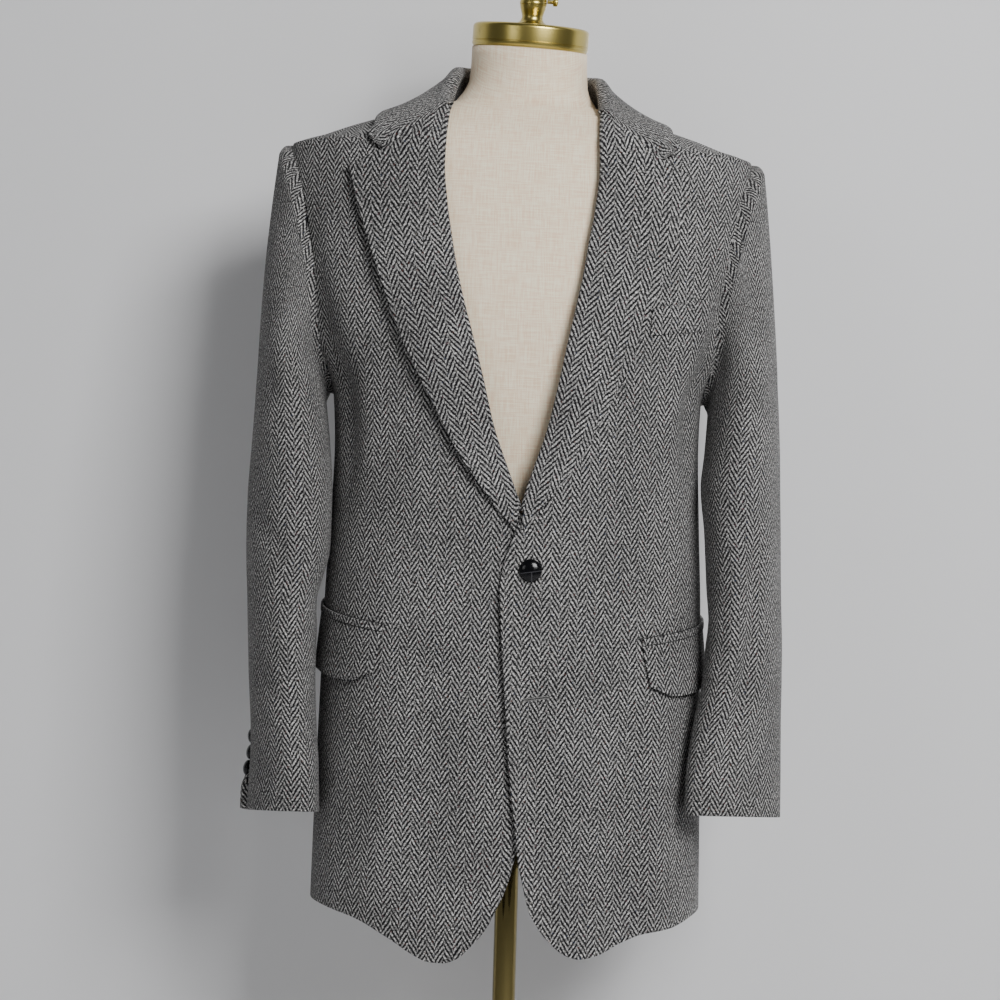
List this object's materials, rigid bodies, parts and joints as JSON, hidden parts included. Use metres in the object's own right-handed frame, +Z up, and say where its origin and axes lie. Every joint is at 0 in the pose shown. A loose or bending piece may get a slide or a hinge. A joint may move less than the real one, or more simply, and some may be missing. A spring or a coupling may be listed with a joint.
{
  "type": "tweed sport coat on a limbless dress form",
  "caption": "Single-breasted herringbone tweed jacket with notch lapels and flap pockets, worn by a limbless linen dress form on a brass pole and round base.",
  "frame": {"origin": "middle of the round base's underside, on the pole's axis", "axes": "+Z up along the pole, +Y to the jacket's back, +X to the wearer's left"},
  "size_m": [0.5334, 0.336, 1.6015],
  "materials": {
    "tweed": "grey and charcoal wool herringbone with a soft nap",
    "linen": "plain woven linen, matte",
    "brass": "brushed, slightly darkened",
    "button": "glossy black, woven leather pattern"
  },
  "bodies": {
    "root": {"front_left": "tweed", "front_right": "tweed", "back_left": "tweed", "back_right": "tweed", "sleeve_under_left": "tweed", "sleeve_under_right": "tweed", "sleeve_top_left": "tweed", "sleeve_top_right": "tweed", "lapel_left": "tweed", "lapel_right": "tweed", "collar": "tweed", "jet_left": "tweed", "jet_right": "tweed", "flap_left": "tweed", "flap_right": "tweed", "breast_welt": "tweed", "front_button": "button", "cuff_button_left_1": "button", "cuff_button_left_2": "button", "cuff_button_left_3": "button", "cuff_button_right_1": "button", "cuff_button_right_2": "button", "cuff_button_right_3": "button", "form_torso": "linen", "neck_cap": "brass", "finial": "brass", "finial_screw": "brass", "pole": "brass", "stand_base": "brass"}
  },
  "joints": []
}
